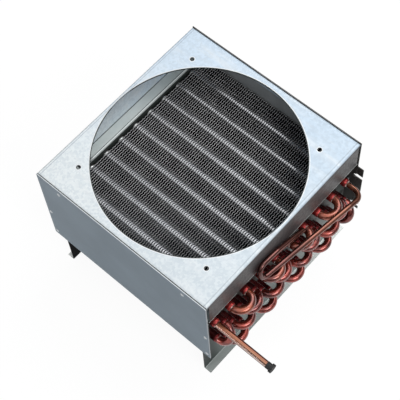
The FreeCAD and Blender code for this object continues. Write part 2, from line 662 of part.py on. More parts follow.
def rivets(name, facing, side_x):
    """Six pop rivets of one panel; facing is -1 for the front and 1 for the rear."""
    dome_radius = ("((Sizes.rivet_head_radius^2 + Sizes.rivet_head_height^2)"
                   " / (2 * Sizes.rivet_head_height))")
    face_y = f"{facing} * ({HALF_LENGTH} + Sizes.panel_thickness)"
    outward = Rotation(Vector(1, 0, 0), -90 * facing)
    pieces = []
    for x, depth, behind in rivet_places(side_x):
        length = f"(Sizes.panel_thickness + {behind} + Sizes.rivet_tail)"
        shank = doc.addObject("Part::Cylinder", f"{name}_shank")
        shank.Placement = Placement(Vector(), outward)
        bind(shank, Radius="Sizes.rivet_radius", Height=length, Placement__Base__x=x,
             Placement__Base__y=f"{face_y} - {facing} * {length}", Placement__Base__z=f"-{depth}")
        head = doc.addObject("Part::Sphere", f"{name}_head")
        head.Placement = Placement(Vector(), outward)
        bind(head, Radius=dome_radius,
             Angle1=f"asin(1 - Sizes.rivet_head_height / {dome_radius})", Placement__Base__x=x,
             Placement__Base__y=f"{face_y} - {facing} * ({dome_radius} - Sizes.rivet_head_height)",
             Placement__Base__z=f"-{depth}")
        pieces.append(joined(f"{name}_rivet", [shank, head]))
    keep(grouped(name, pieces), name)


cowl()
front_panel()
rear_panel()
tube_sheet("left_tube_sheet", -1)
tube_sheet("right_tube_sheet", 1)
fin_pack()
for number, (first, second) in enumerate(HAIRPIN_PAIRS, start=1):
    hairpin(f"hairpin_{number:02d}", first, second)
for number, (first, second) in enumerate(RETURN_PAIRS, start=1):
    return_bend(f"return_bend_{number:02d}", first, second)
inlet()
liquid_line()
rivets("front_rivets", -1, FRONT_RIVET_X)
rivets("rear_rivets", 1, REAR_RIVET_X)
doc.recompute()

for item in doc.Objects:
    if "Invalid" in item.State or "Error" in item.State:
        raise ValueError(f"{item.Label} did not build: {item.State}")
for piece in parts:
    if piece.Shape.isNull() or not piece.Shape.isValid():
        raise ValueError(f"{piece.Label} has no sound shape")

os.makedirs("parts", exist_ok=True)
for piece in parts:
    piece.Shape.exportStep(f"parts/{piece.Label}.step")
print(len(parts), "pieces")
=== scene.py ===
import math

import bmesh
import bpy
from mathutils import Matrix, Vector


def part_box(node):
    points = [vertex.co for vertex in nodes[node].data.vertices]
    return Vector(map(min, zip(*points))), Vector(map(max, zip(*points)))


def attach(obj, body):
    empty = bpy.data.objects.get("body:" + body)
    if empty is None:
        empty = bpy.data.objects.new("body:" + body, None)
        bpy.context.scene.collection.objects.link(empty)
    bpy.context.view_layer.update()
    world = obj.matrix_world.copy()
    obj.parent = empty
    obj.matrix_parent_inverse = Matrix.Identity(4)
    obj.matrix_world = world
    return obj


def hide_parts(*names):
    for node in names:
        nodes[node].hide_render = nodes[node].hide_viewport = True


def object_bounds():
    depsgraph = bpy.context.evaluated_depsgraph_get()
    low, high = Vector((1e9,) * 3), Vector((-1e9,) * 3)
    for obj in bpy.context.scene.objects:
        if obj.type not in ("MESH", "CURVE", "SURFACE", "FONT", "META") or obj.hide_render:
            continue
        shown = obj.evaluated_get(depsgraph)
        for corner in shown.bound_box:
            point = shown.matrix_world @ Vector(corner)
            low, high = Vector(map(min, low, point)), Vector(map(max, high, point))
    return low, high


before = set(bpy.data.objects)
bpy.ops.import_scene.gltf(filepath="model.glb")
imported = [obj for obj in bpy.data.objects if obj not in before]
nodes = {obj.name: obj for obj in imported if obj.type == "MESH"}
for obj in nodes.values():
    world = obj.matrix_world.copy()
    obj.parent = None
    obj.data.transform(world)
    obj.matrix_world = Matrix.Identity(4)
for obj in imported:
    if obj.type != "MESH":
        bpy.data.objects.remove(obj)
cad_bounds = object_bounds()

# Camera. A long lens looks down on the part's front right corner, so that the fan opening,
# the front panel and the tube ends on the right side all show.
camera_data = bpy.data.cameras.new("camera")
camera_data.sensor_width = 36.0
camera_data.lens = 101.6
camera = bpy.data.objects.new("camera", camera_data)
camera.location = (0.4495, -0.4358, 1.0761)
camera.rotation_euler = [math.radians(turn) for turn in (27.992, 2.423, 41.609)]
bpy.context.scene.collection.objects.link(camera)
bpy.context.scene.camera = camera
bpy.context.scene.view_settings.view_transform = "Standard"

# Floor. A matt white sweep under the feet. It shows as plain white to the camera and in the
# metal, and takes only part of its look from the lamps, which leaves a light shadow.
FLOOR_SIZE = 12.0
WHITE_IN_MIRRORS = 0.42
WHITE_TO_CAMERA = 0.88
PAPER_WHITE = 1.06


def linear(hex_colour):
    """The linear red, green, blue and alpha of an sRGB colour written as RRGGBB."""
    shares = [int(hex_colour[start:start + 2], 16) / 255 for start in (0, 2, 4)]
    return [s / 12.92 if s <= 0.04045 else ((s + 0.055) / 1.055) ** 2.4 for s in shares] + [1.0]


def add(tree, kind, inputs=None, **settings):
    """A new node with its settings, and each input a value, a written colour or a link."""
    node = tree.nodes.new(kind)
    for name, setting in settings.items():
        setattr(node, name, setting)
    for name, given in (inputs or {}).items():
        if isinstance(given, bpy.types.NodeSocket):
            tree.links.new(given, node.inputs[name])
        else:
            node.inputs[name].default_value = linear(given) if isinstance(given, str) else given
    return node


def rays(tree):
    """Three numbers that are one for rays from the camera, from a mirror or glass, and from
    either of them."""
    path = add(tree, "ShaderNodeLightPath").outputs
    mirrored = add(tree, "ShaderNodeMath", {0: path["Is Glossy Ray"],
                                            1: path["Is Transmission Ray"]},
                   operation="MAXIMUM").outputs[0]
    either = add(tree, "ShaderNodeMath", {0: path["Is Camera Ray"], 1: mirrored},
                 operation="MAXIMUM").outputs[0]
    return path["Is Camera Ray"], mirrored, either


floor_z = cad_bounds[0].z
bm = bmesh.new()
bmesh.ops.create_grid(bm, x_segments=1, y_segments=1, size=FLOOR_SIZE / 2)
bmesh.ops.translate(bm, verts=bm.verts, vec=(0, 0, floor_z))
floor_mesh = bpy.data.meshes.new("floor")
bm.to_mesh(floor_mesh)
bm.free()
floor = bpy.data.objects.new("floor", floor_mesh)
bpy.context.scene.collection.objects.link(floor)

white_paper = bpy.data.materials.new("matt_white_paper")
white_paper.use_nodes = True
tree = white_paper.node_tree
tree.nodes.clear()
from_camera, from_mirror, seen = rays(tree)
paper = add(tree, "ShaderNodeMix", {0: seen, 6: "8C8C8C", 7: "F2F2F2"}, data_type="RGBA")
lit = add(tree, "ShaderNodeBsdfDiffuse", {"Color": paper.outputs[2]})
plain = add(tree, "ShaderNodeEmission", {"Color": "FFFFFF", "Strength": PAPER_WHITE})
share = add(tree, "ShaderNodeMath", {0: from_mirror, 1: WHITE_IN_MIRRORS}, operation="MULTIPLY")
share = add(tree, "ShaderNodeMath", {0: from_camera, 1: WHITE_TO_CAMERA, 2: share.outputs[0]},
            operation="MULTIPLY_ADD")
mixed = add(tree, "ShaderNodeMixShader", {0: share.outputs[0], 1: lit.outputs[0],
                                          2: plain.outputs[0]})
add(tree, "ShaderNodeOutputMaterial", {"Surface": mixed.outputs[0]})
floor_mesh.materials.append(white_paper)

# Studio light. One large soft lamp behind the part, weaker ones at its right and in front, and
# a dim even surround, which together light a level surface at about its written colour. Metal
# mirrors a white ceiling and floor with a darker band between them.
# Each lamp has its place and width in metres, and its share of the light.
LAMPS = (
    ("key_lamp", (0.10, 0.95, 1.35), 1.40, 0.48),
    ("right_lamp", (2.00, -0.30, 1.75), 1.20, 0.31),
    ("front_lamp", (-0.90, -2.50, 1.05), 0.80, 0.17),
)
LAMPS_AIM = Vector((0, 0, -0.07))
SURROUND = 0.25
HORIZON_LIGHT = 0.05
CEILING_LIGHT = 1.15
CEILING_FROM = 0.2
CEILING_TO = 0.85

for name, lamp_place, size, share_of_light in LAMPS:
    lamp_data = bpy.data.lights.new(name, "AREA")
    lamp_data.shape = "SQUARE"
    lamp_data.size = size
    reach = LAMPS_AIM - Vector(lamp_place)
    lamp_data.energy = share_of_light * (math.pi * reach.length) ** 2
    lamp = bpy.data.objects.new(name, lamp_data)
    lamp.location = lamp_place
    lamp.rotation_euler = reach.to_track_quat("-Z", "Y").to_euler()
    bpy.context.scene.collection.objects.link(lamp)

world = bpy.data.worlds.new("studio")
world.use_nodes = True
bpy.context.scene.world = world
tree = world.node_tree
tree.nodes.clear()
from_camera, from_mirror, seen = rays(tree)
outward = add(tree, "ShaderNodeTexCoord").outputs["Generated"]
upward = add(tree, "ShaderNodeSeparateXYZ", {0: outward}).outputs["Z"]
ceiling = add(tree, "ShaderNodeMapRange", {0: upward, 1: CEILING_FROM, 2: CEILING_TO,
                                           3: HORIZON_LIGHT, 4: CEILING_LIGHT})
brightness = add(tree, "ShaderNodeMix", {0: from_mirror, 2: 1.0, 3: ceiling.outputs[0]})
surround = add(tree, "ShaderNodeBackground", {"Color": "FFFFFF", "Strength": SURROUND})
backdrop = add(tree, "ShaderNodeBackground", {"Color": "FFFFFF",
                                              "Strength": brightness.outputs[0]})
mixed = add(tree, "ShaderNodeMixShader", {0: seen, 1: surround.outputs[0],
                                          2: backdrop.outputs[0]})
add(tree, "ShaderNodeOutputWorld", {"Surface": mixed.outputs[0]})

# Cowl. Hot-dip galvanised steel sheet, punched with the round fan opening and folded down on
# four sides. The zinc is pale and faintly spangled, with painted highlights round the holes and
# painted shade in the screw holes. The bare cut edge of the opening is dark, partly as painted
# shade, and the outside of the side lips carries painted shade.
MM = 0.001
SHEET = 1.0 * MM
OPENING_RADIUS = 120.5 * MM
RIM_WIDTH = 0.7 * MM
SCREW_PLACE = 94.25 * MM
SCREW_HOLE = 2.35 * MM
SCREW_RING = 3.9 * MM
CREASE_INSET = 4.5 * MM
CREASE_WIDTH = 1.0 * MM
SPANGLE = 2.5 * MM
STREAK = 16.7 * MM
STREAK_STRETCH = (0.15, 1.0, 1.0)
OUTSIDE_CLOUD = 35.7 * MM
# The skin of the zinc is finer than 0.1 mm, and is drawn as coarse as it needs to show.
ZINC_GRAIN = 2.5 * MM
ZINC_DEPTH = 0.2 * MM


def start_material(name, inputs):
    """A material with one shader, its node tree, the shader and the piece's own coordinates."""
    material = bpy.data.materials.new(name)
    material.use_nodes = True
    tree = material.node_tree
    tree.nodes.clear()
    shader = add(tree, "ShaderNodeBsdfPrincipled", inputs)
    add(tree, "ShaderNodeOutputMaterial", {"Surface": shader.outputs[0]})
    place = add(tree, "ShaderNodeTexCoord").outputs["Object"]
    return material, tree, shader, place


def coat(tree, under, over, *limits, share=1.0):
    """One colour laid over another, with its full share where each measure given has gone
    from the first of its two limits to the second, and none of it at the first."""
    cover = share
    for measure, bare, full in limits:
        step = add(tree, "ShaderNodeMapRange", {0: measure, 1: bare, 2: full},
                   interpolation_type="SMOOTHSTEP")
        cover = add(tree, "ShaderNodeMath", {0: cover, 1: step.outputs[0]},
                    operation="MULTIPLY").outputs[0]
    return add(tree, "ShaderNodeMix", {0: cover, 6: under, 7: over}, data_type="RGBA").outputs[2]


def from_line(tree, measure, line):
    """How far a measure lies from a line, to either side of it."""
    offset = add(tree, "ShaderNodeMath", {0: measure, 1: line}, operation="SUBTRACT")
    return add(tree, "ShaderNodeMath", {0: offset.outputs[0]}, operation="ABSOLUTE").outputs[0]


def vary(tree, shader, measure, low, high, levels):
    """Lets the shader's levels go from one value to another as a measure goes from low to high."""
    for socket, (at_low, at_high) in levels.items():
        level = add(tree, "ShaderNodeMapRange", {0: measure, 1: low, 2: high,
                                                 3: at_low, 4: at_high},
                    interpolation_type="SMOOTHSTEP")
        tree.links.new(level.outputs[0], shader.inputs[socket])


def roughen(tree, shader, place, grain, detail, depth, strength):
    """Fine relief on a surface, of a given width and depth of grain."""
    skin = add(tree, "ShaderNodeTexNoise", {"Vector": place, "Scale": 1 / grain,
                                            "Detail": detail})
    bump = add(tree, "ShaderNodeBump", {"Height": skin.outputs["Fac"], "Distance": depth,
                                        "Strength": strength})
    tree.links.new(bump.outputs[0], shader.inputs["Normal"])


galvanised, tree, shader, place = start_material("hot_dip_galvanised_sheet", {"Metallic": 0.15})
half_width, half_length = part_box("cowl")[1].x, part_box("cowl")[1].y
axes = add(tree, "ShaderNodeSeparateXYZ", {0: place}).outputs
# Bluer and darker toward the rear, and painted shade toward the right, with small pale cells and
# faint streaks.
front_to_rear = (axes["Y"], -half_length, half_length)
zinc = coat(tree, coat(tree, "F6FDFF", "D9EBFC", front_to_rear),
            coat(tree, "E2EBF0", "C8DAEA", front_to_rear), (axes["X"], -half_width, half_width))
cells = add(tree, "ShaderNodeTexVoronoi", {"Vector": place, "Scale": 1 / SPANGLE,
                                           "Randomness": 1.0})
cell_tone = add(tree, "ShaderNodeSeparateColor", {0: cells.outputs["Color"]}).outputs[0]
zinc = coat(tree, zinc, "BDCCD8", (cell_tone, 0.0, 1.0), share=0.35)
drawn_out = add(tree, "ShaderNodeMapping", {"Vector": place, "Scale": STREAK_STRETCH})
streaks = add(tree, "ShaderNodeTexNoise", {"Vector": drawn_out.outputs[0], "Scale": 1 / STREAK,
                                           "Detail": 4.0, "Roughness": 0.6}).outputs["Fac"]
zinc = coat(tree, zinc, "F2F6F8", (streaks, 0.45, 0.75), share=0.5)

# Painted highlights round the holes, painted shade inside the screw holes, and the cut edge, dark
# partly as painted shade, follow the distance from the opening and the screw holes.
flat_place = add(tree, "ShaderNodeVectorMath", {0: place, 1: (1, 1, 0)}, operation="MULTIPLY")
radius = add(tree, "ShaderNodeVectorMath", {0: flat_place.outputs[0]},
             operation="LENGTH").outputs["Value"]
mirrored = add(tree, "ShaderNodeVectorMath", {0: place}, operation="ABSOLUTE").outputs[0]
from_screw = add(tree, "ShaderNodeVectorMath", {0: mirrored, 1: (SCREW_PLACE, SCREW_PLACE, 0)},
                 operation="DISTANCE").outputs["Value"]
from_middle = add(tree, "ShaderNodeSeparateXYZ", {0: mirrored}).outputs
opening_highlight = (radius, OPENING_RADIUS + 3 * RIM_WIDTH, OPENING_RADIUS + 2 * RIM_WIDTH)
screw_highlight = (from_screw, SCREW_RING, SCREW_RING - RIM_WIDTH)
hole_shade = (from_screw, SCREW_HOLE + 0.8 * RIM_WIDTH, SCREW_HOLE + 0.4 * RIM_WIDTH)
cut_edge = (radius, OPENING_RADIUS + 1.4 * RIM_WIDTH, OPENING_RADIUS + RIM_WIDTH)
zinc = coat(tree, zinc, "F6FAFC", opening_highlight)
zinc = coat(tree, zinc, "F6FAFC", screw_highlight)
# Painted shade darkens the wall of each screw hole.
zinc = coat(tree, zinc, "20282A", hole_shade)
# The bare cut edge round the opening is dark, and partly painted shade.
zinc = coat(tree, zinc, "2A3434", cut_edge, (from_middle["Z"], 2 * SHEET, 1.5 * SHEET))
# A faint grey crease runs beside each side fold. The outside of the side lips carries painted
# shade, and the groove at the panels a darker painted shade.
from_crease = from_line(tree, from_middle["X"], half_width - CREASE_INSET)
zinc = coat(tree, zinc, "A4B0BA", (from_crease, CREASE_WIDTH, 0.0), share=0.6)
clouds = add(tree, "ShaderNodeTexNoise", {"Vector": place, "Scale": 1 / OUTSIDE_CLOUD,
                                          "Detail": 3.0}).outputs["Fac"]
lip_shade = coat(tree, "434142", "525051", (clouds, 0.35, 0.7))
outside = (from_middle["X"], half_width - 1.2 * SHEET, half_width - 0.2 * SHEET)
under_face = (from_middle["Z"], 0.3 * SHEET, 1.8 * SHEET)
groove_shade = (from_middle["Y"], half_length - 1.3 * SHEET, half_length - 0.7 * SHEET)
zinc = coat(tree, zinc, lip_shade, outside, under_face)
# Painted shade fills the groove where the end lips meet the panels.
zinc = coat(tree, zinc, "2C2E30", groove_shade)
tree.links.new(zinc, shader.inputs["Base Color"])
vary(tree, shader, cell_tone, 0.0, 1.0, {"Roughness": (0.36, 0.5)})
roughen(tree, shader, place, ZINC_GRAIN, 3.0, ZINC_DEPTH, 0.2)
nodes["cowl"].material_slots[0].material = galvanised

# Front panel. Flat cold-rolled steel with a thin grey zinc-iron coat, riveted over the cowl's
# front lip and the tube sheets. It is even and smooth, with lighter sheared edges.
COAT_CLOUD = 71.4 * MM
# The coat's crystals are finer than 0.05 mm, and are drawn as coarse as they need to show.
COAT_GRAIN = 2.0 * MM
COAT_DEPTH = 0.1 * MM

panel_grey, tree, shader, place = start_material("galvannealed_sheet",
                                                 {"Metallic": 0.2, "Roughness": 0.5})
clouds = add(tree, "ShaderNodeTexNoise", {"Vector": place, "Scale": 1 / COAT_CLOUD,
                                          "Detail": 3.0, "Roughness": 0.55}).outputs["Fac"]
grey = coat(tree, "8696A3", "90A1AE", (clouds, 0.3, 0.7))
axes = add(tree, "ShaderNodeSeparateXYZ", {0: place}).outputs
panel_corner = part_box("front_panel")[1]
side_edge = (from_line(tree, axes["X"], 0.0), panel_corner.x - 1.2 * SHEET, panel_corner.x)
top_edge = (axes["Z"], panel_corner.z - 0.2 * SHEET, panel_corner.z - 0.05 * SHEET)
grey = coat(tree, grey, "D8DEE2", side_edge, share=0.8)
grey = coat(tree, grey, "D8DEE2", top_edge)
tree.links.new(grey, shader.inputs["Base Color"])
roughen(tree, shader, place, COAT_GRAIN, 2.0, COAT_DEPTH, 0.1)
nodes["front_panel"].material_slots[0].material = panel_grey

# Rear panel. Steel sheet with a thin black-brown baked coat, and grey primer alone on the
# side that faces the coil. Its ears reach past the cowl, each with two open screw slots.
PAINT_CLOUD = 25.0 * MM
ORANGE_PEEL = 1.11 * MM
ORANGE_PEEL_DEPTH = 0.05 * MM
PRIMER_INSET = 4.0 * MM

black_coat, tree, shader, place = start_material("black_brown_baked_coat", {"Roughness": 0.45})
clouds = add(tree, "ShaderNodeTexNoise", {"Vector": place, "Scale": 1 / PAINT_CLOUD,
                                          "Detail": 4.0}).outputs["Fac"]
paint = coat(tree, "2A2624", "3A3532", (clouds, 0.35, 0.7))
primer = coat(tree, "7A7E80", "8A8E90", (clouds, 0.35, 0.7))
axes = add(tree, "ShaderNodeSeparateXYZ", {0: place}).outputs
panel_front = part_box("rear_panel")[0].y
primer_edge = half_width - PRIMER_INSET
within_cowl = (from_line(tree, axes["X"], 0.0), primer_edge, primer_edge - SHEET)
coil_side = (axes["Y"], panel_front + 0.4 * SHEET, panel_front + 0.2 * SHEET)
paint = coat(tree, paint, primer, within_cowl, coil_side)
tree.links.new(paint, shader.inputs["Base Color"])
roughen(tree, shader, place, ORANGE_PEEL, 1.0, ORANGE_PEEL_DEPTH, 0.15)
nodes["rear_panel"].material_slots[0].material = black_coat

# Tube sheets. Folded galvanised plates that carry every tube, with flanges and a foot. Their
# zinc is greyer and more matt than the cowl's, with painted shade on the web and the legs, a
# painted highlight and shade along the folds, soot and painted shade round each joint, painted
# shadow under the cowl and painted light on the feet. The rear flanges are dark brown.
TUBE_PITCH = 25 * MM
ROW_PITCH = 21.65 * MM
ROWS = (10, 9, 10, 9)
TUBE_RADIUS = 4.76 * MM
COLLAR_REACH = 2.5 * MM
COLLAR_WALL = 0.8 * MM
ROUND_STEPS = 20
FLANGE_DEPTH = 2.4 * MM
REAR_COAT_DEPTH = 2.2 * MM
FADE = 0.8 * MM
SOFT_EDGE = 1.0 * MM
FOLD_LINE = 0.5 * MM
SOOT_RADIUS = 9.5 * MM
FOOT_LIGHT_SPAN = (-60 * MM, 80 * MM)
PLATE_CLOUD = 45.5 * MM
# The matt zinc's grain is finer than 0.1 mm, and is drawn as coarse as it needs to show.
PLATE_GRAIN = 1.67 * MM
PLATE_GRAIN_DEPTH = 0.1 * MM

plate_zinc, tree, shader, place = start_material("matt_galvanised_plate", {"Roughness": 0.55})
plate_inner = abs(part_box("left_tube_sheet")[1].x)
plate_front = -half_length
plate_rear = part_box("left_tube_sheet")[1].y
plate_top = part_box("left_tube_sheet")[1].z
panel_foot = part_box("front_panel")[0].z
stub_low, stub_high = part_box("inlet_stub")
first_tube = (stub_low + stub_high) / 2
axes = add(tree, "ShaderNodeSeparateXYZ", {0: place}).outputs
beside = from_line(tree, axes["X"], 0.0)
clouds = add(tree, "ShaderNodeTexNoise", {"Vector": place, "Scale": 1 / PLATE_CLOUD,
                                          "Detail": 4.0, "Roughness": 0.6}).outputs["Fac"]
# Pale flanges and a web painted greyer as shade, with more painted shade up under the cowl and
# near the front.
plate = coat(tree, "C0C8C6", "D6DDDB", (clouds, 0.3, 0.72))
web = coat(tree, "848C8A", "9CA4A1", (clouds, 0.3, 0.72))
upper_web = (axes["Z"], plate_top - 120 * MM, plate_top - 45 * MM)
front_web = (axes["Y"], plate_front + 40 * MM, plate_front + 15 * MM)
below_top = (axes["Z"], plate_top - FLANGE_DEPTH, plate_top - FLANGE_DEPTH - SOFT_EDGE)
web = coat(tree, web, "363C3A", upper_web, share=0.95)
web = coat(tree, web, "3C4442", front_web)
plate = coat(tree, plate, web, below_top)

# On the top flange, a painted highlight and a painted shade line along the fold, painted shade
# at the foot of the cowl's lip, and painted shadow under the cowl.
on_top = (axes["Z"], plate_top - FLANGE_DEPTH, plate_top - FLANGE_DEPTH + FADE)
lip_foot = half_width - 1.2 * SHEET
for line_x, width, tone in ((plate_inner + 2 * FOLD_LINE, FOLD_LINE, "F0F6F6"),
                            (plate_inner + 4 * FOLD_LINE, FOLD_LINE, "3C4444"),
                            (lip_foot, 2 * FOLD_LINE, "283030")):
    plate = coat(tree, plate, tone, (from_line(tree, beside, line_x), width, 0.4 * width), on_top)
# Painted shadow darkens the top flange under the cowl toward the front.
cowl_shadow_rear = (axes["Y"], plate_front + 70 * MM, plate_front + 60 * MM)
cowl_shadow_front = (axes["Y"], plate_front + 47 * MM, plate_front + 48.5 * MM)
plate = coat(tree, plate, "1C2022", cowl_shadow_rear, cowl_shadow_front, on_top)

# Painted shade, near black, covers the inner side of each leg below the front panel.
inner_side = (beside, plate_inner + FADE, plate_inner + FADE / 2)
above_foot = (axes["Z"], floor_z + FLANGE_DEPTH, floor_z + FLANGE_DEPTH + FADE)
below_panel = (axes["Z"], panel_foot + 2 * SOFT_EDGE, panel_foot - 2 * SOFT_EDGE)
leg_shade = 1.0
for measure, lit_at, dark_at in (inner_side, above_foot, below_panel):
    step = add(tree, "ShaderNodeMapRange", {0: measure, 1: lit_at, 2: dark_at},
               interpolation_type="SMOOTHSTEP")
    leg_shade = add(tree, "ShaderNodeMath", {0: leg_shade, 1: step.outputs[0]},
                    operation="MULTIPLY").outputs[0]
plate = add(tree, "ShaderNodeMix", {0: leg_shade, 6: plate, 7: "0A0C0E"},
            data_type="RGBA").outputs[2]

# Soot from brazing and painted shade lie round each tube of the four staggered rows.
from_tube = []
for back, down in ((0, 0), (TUBE_PITCH / 2, ROW_PITCH)):
    offset = add(tree, "ShaderNodeVectorMath",
                 {0: place, 1: (0, first_tube.y + back, first_tube.z - down)},
                 operation="SUBTRACT")
    offset = add(tree, "ShaderNodeVectorMath",
                 {0: offset.outputs[0], 1: (0, TUBE_PITCH / 2, ROW_PITCH),
                  2: (0, -TUBE_PITCH / 2, -ROW_PITCH)}, operation="WRAP")
    from_tube.append(add(tree, "ShaderNodeVectorMath", {0: offset.outputs[0]},
                         operation="LENGTH").outputs["Value"])
nearest = add(tree, "ShaderNodeMath", {0: from_tube[0], 1: from_tube[1]},
              operation="MINIMUM").outputs[0]
from_rows = from_line(tree, axes["Z"], first_tube.z - (len(ROWS) - 1) / 2 * ROW_PITCH)
among_rows = (from_rows, 2 * ROW_PITCH, 2 * ROW_PITCH - SOFT_EDGE)
near_tube = (nearest, SOOT_RADIUS, 0.75 * SOOT_RADIUS)
plate = coat(tree, plate, "1A1816", near_tube, among_rows, share=0.85)
# The feet carry painted light, and the rear flanges are dark brown.
right_foot = coat(tree, "B2BAB8", "F2F6F4", (axes["Y"], *FOOT_LIGHT_SPAN))
feet = coat(tree, "F2F6F4", right_foot, (axes["X"], -SOFT_EDGE, SOFT_EDGE))
on_foot = (axes["Z"], floor_z + FLANGE_DEPTH, floor_z + FLANGE_DEPTH - FADE)
rear_flange = (axes["Y"], plate_rear - REAR_COAT_DEPTH, plate_rear - REAR_COAT_DEPTH + FADE)
plate = coat(tree, plate, feet, on_foot)
plate = coat(tree, plate, "2E2A28", rear_flange)
tree.links.new(plate, shader.inputs["Base Color"])
vary(tree, shader, leg_shade, 0.0, 1.0, {"Specular IOR Level": (0.5, 0.05),
                                         "Metallic": (0.15, 0.0)})
roughen(tree, shader, place, PLATE_GRAIN, 2.0, PLATE_GRAIN_DEPTH, 0.2)
for side in ("left", "right"):
    nodes[f"{side}_tube_sheet"].material_slots[0].material = plate_zinc

tube_places = [
    Vector((0, first_tube.y + (number + row % 2 / 2) * TUBE_PITCH, first_tube.z - row * ROW_PITCH))
    for row, count in enumerate(ROWS) for number in range(count)]


def turned(profile, steps):
    """A mesh turned about the X axis from a closed outline of points (along, radius)."""
    bm = bmesh.new()
    ring = [bm.verts.new((along, 0, radius)) for along, radius in profile]
    edges = [bm.edges.new((ring[n - 1], ring[n])) for n in range(len(ring))]
    bmesh.ops.spin(bm, geom=ring + edges, axis=(1, 0, 0), cent=(0, 0, 0), angle=2 * math.pi,
                   steps=steps, use_merge=True)
    bmesh.ops.remove_doubles(bm, verts=bm.verts, dist=1e-6)
    bmesh.ops.recalc_face_normals(bm, faces=bm.faces)
    mesh = bpy.data.meshes.new("turned")
    bm.to_mesh(mesh)
    bm.free()
    return mesh


def placed(name, mesh_places, material, smooth=True):
    """One piece from copies of meshes, each moved to its place, riding with the part."""
    bm = bmesh.new()
    for mesh, place in mesh_places:
        bm.from_mesh(mesh)
        bm.verts.ensure_lookup_table()
        bmesh.ops.translate(bm, verts=bm.verts[-len(mesh.vertices):], vec=place)
    for face in bm.faces:
        face.smooth = smooth
    mesh = bpy.data.meshes.new(name)
    bm.to_mesh(mesh)
    bm.free()
    mesh.materials.append(material)
    piece = bpy.data.objects.new(name, mesh)
    bpy.context.scene.collection.objects.link(piece)
    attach(piece, "root")
    return piece


# The drawn collars of the tube holes are burnished by the punch, brighter than the plate. The
# punch's fine rub marks are drawn coarser than they are.
RUB_MARK = 3.33 * MM
burnished, tree, shader, place = start_material("burnished_collar",
                                                {"Base Color": "E8ECEC", "Metallic": 0.5})
rubbed = add(tree, "ShaderNodeTexNoise", {"Vector": place, "Scale": 1 / RUB_MARK,
                                          "Detail": 2.0}).outputs["Fac"]
vary(tree, shader, rubbed, 0.3, 0.7, {"Roughness": (0.24, 0.4)})
collar_outline = [
    (plate_inner, TUBE_RADIUS + 1.6 * COLLAR_WALL),
    (plate_inner - 0.35 * COLLAR_REACH, TUBE_RADIUS + COLLAR_WALL),
    (plate_inner - COLLAR_REACH, TUBE_RADIUS + COLLAR_WALL),
    (plate_inner - COLLAR_REACH, TUBE_RADIUS),
    (plate_inner, TUBE_RADIUS),
]
right_collar = turned(collar_outline, ROUND_STEPS)
left_collar = turned([(-along, radius) for along, radius in reversed(collar_outline)],
                     ROUND_STEPS)
collars = placed("tube_sheet_collars",
                 [(mesh, place) for mesh in (left_collar, right_collar) for place in tube_places],
                 burnished)

# Fins. Bare aluminium strip 0.2 mm thick, rippled five times per tube and pressed on at a
# 3 mm pitch. The slit edges carry painted light, and the faces painted shade, with painted light
# round the tubes and toward the front right corner.
FIN_PITCH = 3.0 * MM
FIN_WALL = 0.2 * MM
RIPPLE_PITCH = 5.0 * MM
RIPPLE_HEIGHT = 0.45 * MM
POINTS_PER_RIPPLE = 4
BRIGHT_EDGE = 1.0 * MM
TUBE_LIGHT_RADIUS = 11.0 * MM
FLARE_RADIUS = TUBE_RADIUS + 2.4 * MM
FLARE_FADE = 0.6 * MM
CORNER_LIGHT = (-10 * MM, -95 * MM)
ROLLED_CLOUD = 16.7 * MM

pack_low, pack_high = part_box("fin_pack")
pack_centre = (pack_low + pack_high) / 2
half_height = pack_high.z - pack_centre.z
fin_metal, tree, shader, place = start_material("bare_rolled_aluminium", {"Metallic": 0.0})
axes = add(tree, "ShaderNodeSeparateXYZ", {0: place}).outputs
# The distance from the axis of the nearest tube, in the top row or the bottom row.
height = from_line(tree, axes["Z"], pack_centre.z)
below = add(tree, "ShaderNodeMath", {0: axes["Z"], 1: pack_centre.z}, operation="LESS_THAN")
along = add(tree, "ShaderNodeMath", {0: below.outputs[0], 1: TUBE_PITCH / 2, 2: axes["Y"]},
            operation="MULTIPLY_ADD")
along = add(tree, "ShaderNodeMath", {0: along.outputs[0], 1: first_tube.y + TUBE_PITCH / 2,
                                     2: first_tube.y - TUBE_PITCH / 2}, operation="WRAP")
along = add(tree, "ShaderNodeMath", {0: along.outputs[0], 1: first_tube.y}, operation="SUBTRACT")
above = add(tree, "ShaderNodeMath", {0: height, 1: 1.5 * ROW_PITCH}, operation="SUBTRACT")
from_axis = add(tree, "ShaderNodeCombineXYZ", {0: along.outputs[0], 1: above.outputs[0]})
from_axis = add(tree, "ShaderNodeVectorMath", {0: from_axis.outputs[0]},
                operation="LENGTH").outputs["Value"]
# Painted shade on the faces, painted light round the tubes and toward the front right corner,
# and a painted highlight where they flare into the collars.
toward_corner = add(tree, "ShaderNodeVectorMath", {0: place, 1: (-0.5, 1.0, 0.0)},
                    operation="DOT_PRODUCT").outputs["Value"]
corner_light = (toward_corner, *CORNER_LIGHT)
faces = coat(tree, coat(tree, "040506", "34363A", corner_light),
             coat(tree, "6A6B70", "AAABB0", corner_light), (from_axis, TUBE_LIGHT_RADIUS, FLARE_RADIUS))
faces = coat(tree, faces, "F0F0F2", (from_axis, FLARE_RADIUS, FLARE_RADIUS - FLARE_FADE))
# Painted light on the slit edges along the top and the bottom.
tint = add(tree, "ShaderNodeTexNoise", {"Vector": place, "Scale": 1 / ROLLED_CLOUD,
                                        "Detail": 3.0}).outputs["Fac"]
edge_metal = coat(tree, "DEDEE0", "FAFAFB", (tint, 0.35, 0.7))
slit_edge = add(tree, "ShaderNodeMapRange", {0: height, 1: half_height - BRIGHT_EDGE,
                                             2: half_height - 0.7 * BRIGHT_EDGE},
                interpolation_type="SMOOTHSTEP").outputs[0]
metal = add(tree, "ShaderNodeMix", {0: slit_edge, 6: faces, 7: edge_metal}, data_type="RGBA")
tree.links.new(metal.outputs[2], shader.inputs["Base Color"])
vary(tree, shader, slit_edge, 0.0, 1.0, {"Specular IOR Level": (0.05, 0.5),
                                         "Roughness": (0.9, 0.45)})

